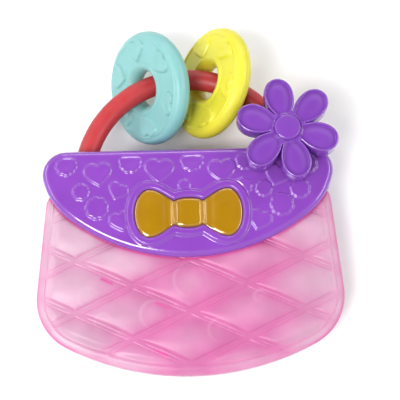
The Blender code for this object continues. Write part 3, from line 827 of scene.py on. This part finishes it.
def flower_height(points, outline):
    """The front: rounded edges, dished petals inside their rims, and a groove round the cap."""
    edge = np.maximum(depth_inside(points, outline), 0)
    inward = np.maximum(FLOWER_ROUND - edge, 0)
    drop = FLOWER_ROUND - np.sqrt(np.maximum(FLOWER_ROUND**2 - inward**2, 0))
    radius = np.hypot(*points.T)
    sunk = np.zeros(len(points))
    for petal in all_petals():
        depth = depth_inside(points, petal)
        dish = PETAL_SUNK * step(depth, PETAL_RIM, PETAL_RIM + 0.7)
        dish = dish - PETAL_DOME * step(depth, PETAL_RIM + 0.6, 5.5)
        sunk = np.maximum(sunk, dish)
    hub = step(radius, HUB_SEAT - 1.1, HUB_SEAT - 0.3)
    groove = GROOVE_DEPTH * (1 - step(radius, CAP_RADIUS + 0.2, CAP_RADIUS + 0.8))
    return FLOWER_FACE - drop - sunk * hub - groove


def make_petals(place, outline):
    """The front, with a stepped bore for the axle and its head."""
    low = FLOWER_UNDERSIDE + PLATE_THICK + GAP
    body = Body()
    base = body.row(outline, low)
    side = body.row(outline, FLOWER_FACE - FLOWER_ROUND)
    body.bridge(base, side)
    lines = [outline - outward(outline) * inset for inset in FLOWER_EDGE_LINES]
    for petal in all_petals():
        even = evenly(petal, 0.42)
        lines += [even - outward(even) * inset for inset in PETAL_RIM_LINES]
    lines += [np.array(circle(0, 0, radius, 90)) for radius in GROOVE_LINES]
    points = mesh_points(outline, 0.5, 0.05, lines)
    body.patch(side, (), points, lambda p: flower_height(p, outline))
    bore = ((BORE_RADIUS, low), (BORE_RADIUS, HEAD_ROOM_LOW),
            (HEAD_ROOM_RADIUS, HEAD_ROOM_LOW), (HEAD_ROOM_RADIUS, HEAD_ROOM_TOP))
    rows = [body.row(circle(0, 0, radius), height) for radius, height in bore]
    for lower, upper in zip(rows, rows[1:]):
        body.bridge(lower, upper)
    body.patch(rows[-1])
    body.patch(base, [rows[0]])
    made = body.build("flower_petals", place)
    wear(made, DEEP_PURPLE, "flower", "flower_front")


def make_plate(place, outline):
    low, high, chamfer = FLOWER_UNDERSIDE, FLOWER_UNDERSIDE + PLATE_THICK, 0.3
    body = Body()
    levels = [(chamfer, low), (0.0, low + chamfer), (0.0, high)]
    rows = body.stack(outline, outward(outline), levels)
    bore = circle(0, 0, BORE_RADIUS)
    bottom, top = body.row(bore, low), body.row(bore, high)
    body.bridge(bottom, top)
    body.patch(rows[0], [bottom])
    body.patch(rows[-1], [top])
    made = body.build("flower_plate", place)
    wear(made, DEEP_PURPLE, "flower", "flower_back_plate")


def make_cap(place):
    body = Body()
    disc = np.array(circle(0, 0, CAP_RADIUS, 120))
    top_radius = CAP_RADIUS - CAP_ROUND
    rows = body.stack(disc, outward(disc), [(0.0, CAP_LOW), *rounded(CAP_ROUND, CAP_HIGH, 6)])
    body.patch(rows[0])

    def dome(p):
        return CAP_HIGH + CAP_DOME * (1 - (np.hypot(*p.T) / top_radius) ** 2)

    body.patch(rows[-1], (), grid_inside(disc * top_radius / CAP_RADIUS, 0.5, 0.3), dome)
    made = body.build("flower_cap", place)
    wear(made, DEEP_PURPLE, "flower", "flower_hub_cap")


def make_flower():
    place, outline = flower_frame(), flower_outline()
    make_petals(place, outline)
    make_plate(place, outline)
    make_cap(place)


# -------------------------------- the rings

# Raised hearts on each face: place round the ring in degrees, distance from its axis, width, turn
RING_HEARTS = (
    (103, 17.8, 11.6, 0),
    (163, 17.7, 11.0, 6),
    (223, 17.6, 10.6, 0),
    (281, 17.6, 10.8, -8),
    (341, 17.7, 10.6, 5),
    (41, 17.7, 10.8, 0),
)
HEART_HEIGHT = 1.1
HEART_SLOPE = 0.85
HEART_REACH = (22.0, 23.4)  # the hearts fade out between these radii
COLLAR_RADIUS = 12.0
COLLAR_HEIGHT = 0.9
BEAD_RADIUS = 22.6
BEAD_HEIGHT = 0.45
BACK_TURN = 30  # degrees between the front's hearts and the back's


def ring_profile():
    """Radius, height and outward slope of one half's outside, from the hole's rim to the outer rim."""
    radius = RING_THICK / 2
    lowest = math.asin(RING_SEAM / 2 / radius)
    inner = [(RING_HOLE + radius - radius * math.cos(t), radius * math.sin(t), -math.cos(t), math.sin(t))
             for t in np.linspace(lowest, math.pi / 2, 18)]
    outer = [(RING_OUTER - radius + radius * math.sin(t), radius * math.cos(t), math.sin(t), math.cos(t))
             for t in np.linspace(0, math.pi / 2 - lowest, 26)]
    start, end = inner[-1][0], outer[0][0]
    flat = [(r, radius, 0.0, 1.0) for r in np.linspace(start, end, 26)[1:-1]]
    return np.array(inner + flat + outer)


def ring_half(name, place, flip, shapes):
    """A half shell: a turned profile whose face sinks between a collar round the hole and a bead
    near the rim, with raised shapes on it.
    """
    around = 300
    turns = np.linspace(0, 2 * math.pi, around, endpoint=False)
    radius, height, slope_out, slope_up = ring_profile().T
    level = np.stack([np.outer(np.cos(turns), radius), np.outer(np.sin(turns), radius)], axis=-1)
    flat = level.reshape(-1, 2)
    face = step(radius, COLLAR_RADIUS - 1.0, COLLAR_RADIUS + 0.6)
    face = face * (1 - step(radius, BEAD_RADIUS - 1.0, BEAD_RADIUS + 2.4))
    raised = embossed(flat, shapes, HEART_HEIGHT, HEART_SLOPE).reshape(around, -1)
    raised = raised * (1 - step(radius, *HEART_REACH))
    push = -COLLAR_HEIGHT * face + raised * step(radius, COLLAR_RADIUS, COLLAR_RADIUS + 1.0)
    push += BEAD_HEIGHT * bump(radius, BEAD_RADIUS, 0.5)
    push = push * step(height, 0.2, 1.4)
    out = radius + push * slope_out
    up = height + push * slope_up
    outside = np.stack([out * np.cos(turns)[:, None], out * np.sin(turns)[:, None], up], axis=-1)
    shell = RING_THICK / 2 - RING_SHELL
    lowest = 0.08
    bend = [(RING_OUTER - RING_THICK / 2 + shell * math.cos(t), shell * math.sin(t))
            for t in np.linspace(lowest, math.pi / 2, 8)]
    bend += [(RING_HOLE + RING_THICK / 2 - shell * math.sin(t), shell * math.cos(t))
             for t in np.linspace(0, math.pi / 2 - lowest, 8)]
    inside = np.array([[(r * math.cos(t), r * math.sin(t), z) for r, z in bend] for t in turns])
    points = np.concatenate([outside, inside], axis=1)
    count = points.shape[1]
    body = Body()
    body.points = [tuple(p) for p in points.reshape(-1, 3)]
    for i in range(around):
        after = (i + 1) % around
        for k in range(count):
            nxt = (k + 1) % count
            body.faces.append((i * count + k, after * count + k, after * count + nxt, i * count + nxt))
    return body.build(name, place @ flip)


def make_ring(colour, material, shift):
    """Both welded halves of one ring, with the shapes of its face turned by a shift in degrees."""
    place = ring_frame(colour)
    turnover = Matrix.Rotation(math.pi, 4, "X")
    body = f"{colour}_ring"
    halves = (("front", Matrix.Identity(4), 0), ("back", turnover, BACK_TURN))
    for half, flip, offset in halves:
        shapes = []
        for angle, distance, width, turn in RING_HEARTS:
            at = math.radians(angle + shift + offset)
            spot = (distance * math.cos(at), distance * math.sin(at))
            shapes.append(np.array(heart(*spot, width, math.degrees(at) - 90 + turn)))
        made = ring_half(f"{colour}_{half}", place, flip, shapes)
        wear(made, material, body, f"{colour}_ring_{half}_half")


# -------------------------------- the pouch

QUILT_ACROSS, QUILT_UP = 49.8, 23.0
QUILT_START = -48.8
POUCH_ROUND = 3.2
QUILT_LOW, QUILT_DOME = 2.1, 2.0
SEAM_LINE = 1.3
SEAM_CELL = 0.28
SEAM_OFFSETS = (0.0, 0.5, -0.5, 0.95, -0.95, 1.3, -1.3, 1.65, -1.65)
RIB_LINES = (0.4, 0.8, 1.2, 1.8, 2.5)
# How opaque the film is in its middle, at its sides and on its inner face
COVER_MIDDLE, COVER_SIDE, COVER_INNER = 0.70, 0.58, 0.06
# Air bubbles: centre, radius
BUBBLES = (
    (0.0, -58.2, 7.1),
    (-15.5, -73.0, 6.2),
    (47.8, -36.3, 3.6),
    (-44.4, -64.9, 4.0),
    (-38.0, -75.5, 3.5),
    (12.0, -80.0, 4.6),
    (30.0, -66.0, 2.6),
)
BUBBLE_DEPTH = 0.28  # of a bubble's radius
# Dark dashes along the seams that run down to the right: centre, half-length
DARK_DASHES = ((-36.2, -58.0, 3.4), (-12.1, -69.0, 3.8), (-12.8, -89.4, 3.4))


def quilt(points):
    """Distance to the nearest seam in mm, and how puffed each place is, from 0 on a seam to 1."""
    slope = QUILT_UP / QUILT_ACROSS
    lean = math.cos(math.atan(slope))
    away, puff = np.full(len(points), np.inf), np.ones(len(points))
    for way in (1, -1):
        turns = (points[:, 1] - QUILT_START + way * slope * points[:, 0]) / QUILT_UP
        off = np.abs(turns - np.round(turns))
        away = np.minimum(away, off * QUILT_UP * lean)
        puff = puff * np.sin(math.pi * off)
    return away, puff


def seam_points(loop, margin):
    """Points along every seam line and beside it, inside an outline, at most one in each cell."""
    slope = QUILT_UP / QUILT_ACROSS
    lean = math.cos(math.atan(slope))
    across = np.arange(-70, 70, 0.55)
    found = []
    for way in (1, -1):
        for turn in range(-6, 7):
            for off in SEAM_OFFSETS:
                up = QUILT_START + turn * QUILT_UP + off / lean - way * slope * across
                found.append(np.column_stack([across, up]))
    found = np.vstack(found)
    found = found[depth_inside(found, loop) > margin]
    cells = np.unique(np.round(found / SEAM_CELL).astype(int), axis=0, return_index=True)[1]
    return found[np.sort(cells)]


def pouch_level(points, outline):
    """How far the film stands below its highest level."""
    edge = depth_inside(points, outline)
    away, puff = quilt(points)
    inland = step(edge, POUCH_ROUND + 0.4, POUCH_ROUND + 4.5)
    channel = 0.30 * bump(away, SEAM_LINE, 0.35)
    lip = 0.10 * bump(away, 0.0, 0.6)
    rib = 0.45 * bump(edge, POUCH_ROUND + 0.2, 0.6)
    return QUILT_LOW - inland * (QUILT_DOME * puff**0.7 - channel + lip) - rib


def dark_dash(points):
    """Strength of the dark dashes at each place."""
    lean = math.atan2(-QUILT_UP, QUILT_ACROSS)
    strength = np.zeros(len(points))
    for x, y, half in DARK_DASHES:
        along = (points[:, 0] - x) * math.cos(lean) + (points[:, 1] - y) * math.sin(lean)
        aside = (points[:, 1] - y) * math.cos(lean) - (points[:, 0] - x) * math.sin(lean)
        mark = (1 - step(np.abs(along), half - 0.8, half)) * bump(aside, 0, 0.6)
        strength = np.maximum(strength, mark)
    return strength


def painted_bubble_light(points):
    """Each bubble's painted highlight on its rim's lit side and painted sheen over its middle, and
    painted shade on its edge away from the light.
    """
    bright, dark = np.zeros(len(points)), np.zeros(len(points))
    for x, y, r in BUBBLES:
        across, up = points[:, 0] - x, points[:, 1] - y
        away = np.hypot(across, up)
        lit = 0.5 + 0.5 * (up - across) / (math.sqrt(2) * away + 0.01)
        middle = 0.35 * (1 - step(away, 0.2 * r, r))
        bright = np.maximum(bright, 0.9 * lit * bump(away, r, 0.55) + middle)
        dark = np.maximum(dark, 0.16 * (1 - lit) * bump(away, r - 0.5, 0.6))
    return bright, dark


def pouch_colour(points, outline, flap):
    """How deep in colour (seams, and painted shade), how whitened by painted sheen and painted light,
    and how dense the outer film is at each place.
    """
    edge = depth_inside(points, outline)
    away, puff = quilt(points)
    inland = step(edge, POUCH_ROUND, POUCH_ROUND + 1.5)
    under_flap = -depth_inside(points, flap)
    lines = 0.27 * bump(away, SEAM_LINE, 0.30) * inland + 0.10 * (1 - step(away, 1.5, 5.0))
    # Painted highlights and painted shade round the air bubbles.
    bubble_glint, dark = painted_bubble_light(points)
    lines = np.maximum(lines, dark)
    at_side = step(np.abs(points[:, 0]), 44.0, 54.0)
    border = 0.3 * bump(edge, POUCH_ROUND + 0.6, 0.5)
    border += (0.25 + 0.5 * at_side) * bump(edge, 0.3, 0.8)
    # A deeper band just below the flap's lip: partly the film folding under it, partly painted shade
    # from the lip.
    fold = bump(under_flap, 0.2, 0.7)
    seam = np.clip(np.maximum.reduce([lines, border, fold, dark_dash(points)]), 0, 1)
    # Painted sheen, where the lamps would reflect in the film: whiter towards the sides, low down and
    # over the puffs, less on the seams.
    sideways = step(np.abs(points[:, 0] - 7.0), 14.0, 66.0)
    low = step(-points[:, 1], 82.0, 98.0)
    painted_sheen = np.clip(0.8 * sideways + 0.2 * low + 0.45 * puff - 0.16, 0, 1) * (1 - 0.5 * seam)
    # Painted light beside the flap, left of the middle, lifting the shade that the flap casts on the
    # film.
    painted_light_by_flap = 0.45 * bump(under_flap, 6.0, 5.0) * step(-points[:, 0], 5.0, 25.0)
    painted_sheen = np.clip(painted_sheen + 0.35 * bubble_glint + painted_light_by_flap, 0, 1)
    cover = COVER_MIDDLE + (COVER_SIDE - COVER_MIDDLE) * sideways + 0.25 * seam
    return seam, painted_sheen, np.clip(cover, 0.05, 0.95)


def pouch_wall(name, face, seam_height, towards, node):
    """One wall: quilted outside, plain inside, with its colour given at every point."""
    outline, flap = evenly(pouch_outline(), 0.7), evenly(flap_outline(), 1.0)
    normals = outward(outline)
    body = Body()
    edge = rounded(POUCH_ROUND, 0.0, 10)
    rise = [(inset, face + towards * (height - QUILT_LOW)) for inset, height in edge]
    outer = body.stack(outline, normals, [(0.0, seam_height), *rise])
    rim = outline - normals * POUCH_ROUND
    fold = flap + outward(flap) * GAP
    ribs = [outline - normals * (POUCH_ROUND + inland) for inland in RIB_LINES]
    points = grid_inside(rim, 0.7, 0.35, (), [fold, fold + outward(flap) * 0.6, *ribs])
    points = np.vstack([points[quilt(points)[0] > 1.95], seam_points(rim, 0.35)])
    body.patch(outer[-1], (), points, lambda p: face - towards * pouch_level(p, outline))
    outside = len(body.points)
    ceiling, slant = face - towards * (QUILT_LOW + POUCH_WALL), 1.5
    levels = [(POUCH_WALL, seam_height), (POUCH_WALL, ceiling - towards * slant),
              (POUCH_WALL + slant, ceiling)]
    inner = body.stack(outline, normals, levels)
    body.bridge(outer[0], inner[0])
    body.patch(inner[-1])
    places = np.array(body.points)[:, :2]
    seam, painted_sheen, cover = pouch_colour(places, outline, flap)
    seam[outside:], cover[outside:] = 0.0, COVER_INNER
    made = body.build(name, PURSE, {"seam": seam, "painted_sheen": painted_sheen, "cover": cover})
    wear(made, PINK, "purse", node)


def in_bubbles(points):
    """Each bubble's radius, and every point's distance from its middle as a share of that radius."""
    return [(r, np.hypot(points[:, 0] - x, points[:, 1] - y) / r) for x, y, r in BUBBLES]


def make_water():
    """The water, with air bubbles pressed into its upper face and a paler, denser ring round each as a
    painted highlight.
    """
    outline = evenly(pouch_outline(), 1.2)
    normals = outward(outline)
    film = QUILT_LOW + POUCH_WALL + GAP
    top, bottom = POUCH_FACE - film, POUCH_BACK + film
    inset, slant = POUCH_WALL + GAP, 1.5
    body = Body()
    lower = [(inset + slant, bottom), (inset, bottom + slant)]
    rows = body.stack(outline, normals, [*lower, *rounded(slant, top, 4, inset)])
    rim = outline - normals * (inset + slant)
    lines = [np.array(circle(x, y, r * share, 60))
             for x, y, r in BUBBLES for share in (1.0, 0.93, 0.85, 0.6)]
    points = grid_inside(rim, 1.6, 0.8, (), lines)

    def dented(p):
        dents = [BUBBLE_DEPTH * r * np.sqrt(np.clip(1 - share**2, 0, 1)) for r, share in in_bubbles(p)]
        return top - np.maximum.reduce(dents)

    body.patch(rows[-1], (), points, dented)
    body.patch(rows[0])
    # A painted highlight round each bubble's edge: a paler, denser ring in the water.
    painted_shading = np.zeros(len(body.points))
    painted_shading[-len(points):] = sum(bump(share, 0.95, 0.07) for _, share in in_bubbles(points))
    painted_shading = np.clip(painted_shading, 0, 1)
    made = body.build("water", PURSE, {"seam": painted_shading, "cover": 0.06 + 0.12 * painted_shading})
    wear(made, WATER, "purse", "pouch_water")


def make_pouch():
    pouch_wall("pouch_front", POUCH_FACE, SEAM + GAP / 2, 1, "pouch_front_wall")
    pouch_wall("pouch_back", POUCH_BACK, SEAM - GAP / 2, -1, "pouch_back_wall")
    make_water()


# -------------------------------- carried-over CAD pieces


def finish_cad_nodes():
    """The axle and the plug keep the CAD's meshes and get a finish."""
    for name, material in (("flower_axle", PURPLE), ("pouch_fill_plug", PLUG)):
        cad = frame["nodes"][name]
        cad.data.materials.clear()
        cad.data.materials.append(material)


# -------------------------------- camera, light and floor

CAMERA_TILT, CAMERA_ROLL = 12.5, 1.4
CAMERA_DISTANCE = 450.0
CAMERA_AIM = (5.1, -22.9, 20.0)
PICTURE_WIDTH = 176.4  # mm across the picture, at the place that the camera aims at


def make_camera():
    """Looks almost straight down on the purse, from a little below its middle."""
    camera = bpy.data.cameras.new("camera")
    camera.sensor_width = 36.0
    camera.lens = camera.sensor_width * CAMERA_DISTANCE / PICTURE_WIDTH
    camera.clip_start, camera.clip_end = 0.02, 20.0
    made = add("camera", camera)
    tilt = Matrix.Rotation(math.radians(CAMERA_TILT), 4, "X")
    roll = Matrix.Rotation(math.radians(-CAMERA_ROLL), 4, "Z")
    back = Matrix.Translation((0, 0, CAMERA_DISTANCE * MM))
    made.matrix_world = PURSE @ Matrix.Translation(Vector(CAMERA_AIM) * MM) @ tilt @ roll @ back
    bpy.context.scene.camera = made


# The tent's brightness by the sine of its height
SKY = ((0.0, 0.70), (0.3, 0.85), (0.6, 1.05), (0.82, 0.95), (0.93, 0.32), (1.0, 0.12))
SKY_STRENGTH = 0.78
# Name, place, the sides in metres, and watts
SOFTBOXES = (
    ("key", (-0.34, -0.44, 0.82), (0.36, 0.36), 7.6),
    ("right_strip", (0.70, 0.0, 0.55), (0.70, 0.12), 2.4),
    ("left_strip", (-0.72, 0.10, 0.52), (0.70, 0.12), 2.0),
    ("back_strip", (0.05, 0.72, 0.55), (0.60, 0.10), 1.6),
)


def softbox(name, place, size, watts):
    """A rectangular lamp that shines at the world's origin."""
    light = bpy.data.lights.new(name, "AREA")
    light.shape = "RECTANGLE"
    light.size, light.size_y = size
    light.energy = watts
    made = add(name, light)
    made.location = place
    made.rotation_euler = (-Vector(place)).to_track_quat("-Z", "Y").to_euler()


def make_sky():
    """A white tent, dimmer overhead where its opening is."""
    world = bpy.data.worlds.new("studio")
    world.use_nodes = True
    tree = world.node_tree
    direction = tree.nodes.new("ShaderNodeTexCoord")
    parts = tree.nodes.new("ShaderNodeSeparateXYZ")
    ramp = tree.nodes.new("ShaderNodeValToRGB")
    tree.links.new(direction.outputs["Generated"], parts.inputs[0])
    tree.links.new(parts.outputs["Z"], ramp.inputs["Fac"])
    stops = ramp.color_ramp.elements
    while len(stops) < len(SKY):
        stops.new(0.5)
    for stop, (height, level) in zip(stops, SKY):
        stop.position, stop.color = height, (level, level, level, 1)
    tree.links.new(ramp.outputs["Color"], tree.nodes["Background"].inputs["Color"])
    tree.nodes["Background"].inputs["Strength"].default_value = SKY_STRENGTH
    bpy.context.scene.world = world


def make_studio():
    """A pale table under a white tent, with lamps."""
    floor = bpy.data.meshes.new("table")
    reach = 3.0
    corners = [(-reach, -reach, 0), (reach, -reach, 0), (reach, reach, 0), (-reach, reach, 0)]
    floor.from_pydata(corners, [], [(0, 1, 2, 3)])
    table = add("table", floor)
    paper = Shader("table_paper", Roughness=0.85)
    paper.main.inputs["Base Color"].default_value = (0.88, 0.88, 0.88, 1)
    paper.main.inputs["Specular IOR Level"].default_value = 0.1
    floor.materials.append(paper.material)
    make_sky()
    for name, place, sides, watts in SOFTBOXES:
        softbox(name, place, sides, watts)
    bpy.context.scene.view_settings.view_transform = "Standard"


make_camera()
make_studio()
make_flap()
make_bow()
make_handle()
make_flower()
make_ring("turquoise", TURQUOISE, 0)
make_ring("yellow", YELLOW, -9)
make_pouch()
finish_cad_nodes()

bpy.context.view_layer.update()
